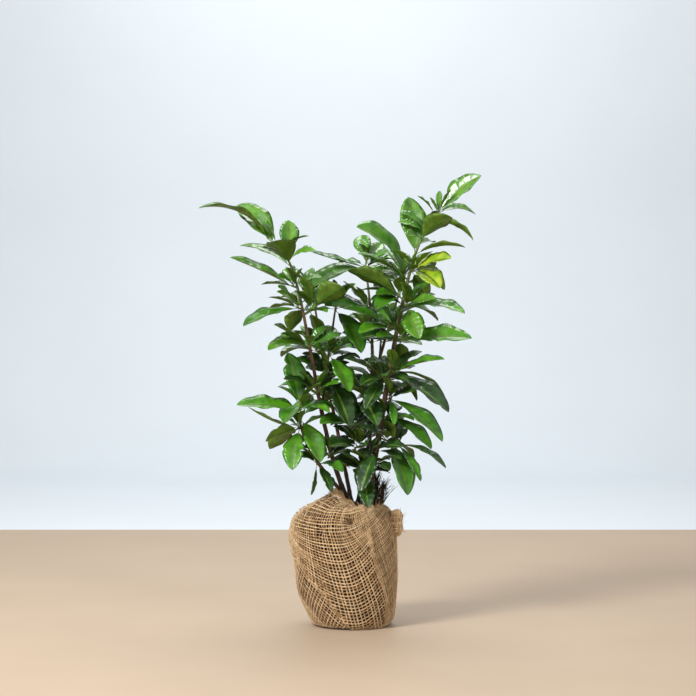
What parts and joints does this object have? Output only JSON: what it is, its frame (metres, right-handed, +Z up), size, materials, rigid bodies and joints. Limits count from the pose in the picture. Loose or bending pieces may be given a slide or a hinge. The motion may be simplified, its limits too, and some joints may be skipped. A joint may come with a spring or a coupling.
{
  "type": "sapling with root ball",
  "caption": "Young broad-leaved evergreen shrub of several stems, about 0.9 m tall, standing on a root ball wrapped in burlap.",
  "frame": {"origin": "on the floor, in the flat underside of the root ball", "axes": "+Z up along the plant, +X to the right and +Y to the back as the plant is seen from its front"},
  "size_m": [0.5542, 0.3348, 0.8993],
  "materials": {
    "leaf": "leathery, glossy on the upper face",
    "leaf_yellowing": "leathery, glossy on the upper face",
    "bark": "smooth thin bark with small pores",
    "dry_wood": "dry and fibrous",
    "burlap": "coarse open plain weave, matt",
    "soil": "crumbly, matt"
  },
  "bodies": {
    "root": {"burlap_wrap": "burlap", "burlap_knot": "burlap", "soil_ball": "soil", "root_collar": "bark", "stem_right": "bark", "stem_middle": "bark", "stem_left": "bark", "branch_low_left": "bark", "stem_back": "bark", "stem_back_left": "bark", "stem_middle_back": "bark", "stem_left_inner": "bark", "dry_twig_right": "dry_wood", "dry_twig_front": "dry_wood", "foliage_top_right": "leaf", "foliage_yellowing": "leaf_yellowing", "foliage_upper_centre": "leaf", "foliage_right_upper": "leaf", "foliage_right_upper_inner": "leaf", "foliage_right_inner": "leaf", "foliage_right_mid": "leaf", "foliage_right_low": "leaf", "foliage_right_low_inner": "leaf", "foliage_right_hanging": "leaf", "foliage_right_hanging_low": "leaf", "foliage_right_foot": "leaf", "foliage_middle_top": "leaf", "foliage_middle_upper": "leaf", "foliage_middle": "leaf", "foliage_top_left": "leaf", "foliage_left_upper": "leaf", "foliage_left_shoulder": "leaf", "foliage_left_heart": "leaf", "foliage_left_mid": "leaf", "foliage_left_low": "leaf", "foliage_low_left_tip": "leaf", "foliage_low_left_mid": "leaf", "foliage_low_left_foot": "leaf", "foliage_inner_top": "leaf", "foliage_inner_mid": "leaf", "foliage_inner_low": "leaf", "foliage_centre": "leaf", "foliage_centre_low": "leaf", "foliage_heart": "leaf", "foliage_low_heart": "leaf", "foliage_low_right_heart": "leaf", "foliage_front": "leaf", "foliage_front_low": "leaf", "foliage_back_left_top": "leaf", "foliage_back_left_mid": "leaf", "foliage_back_left_low": "leaf", "foliage_back_top": "leaf", "foliage_back_mid": "leaf", "foliage_back_low": "leaf", "foliage_middle_back_top": "leaf", "foliage_middle_back_mid": "leaf"}
  },
  "joints": []
}
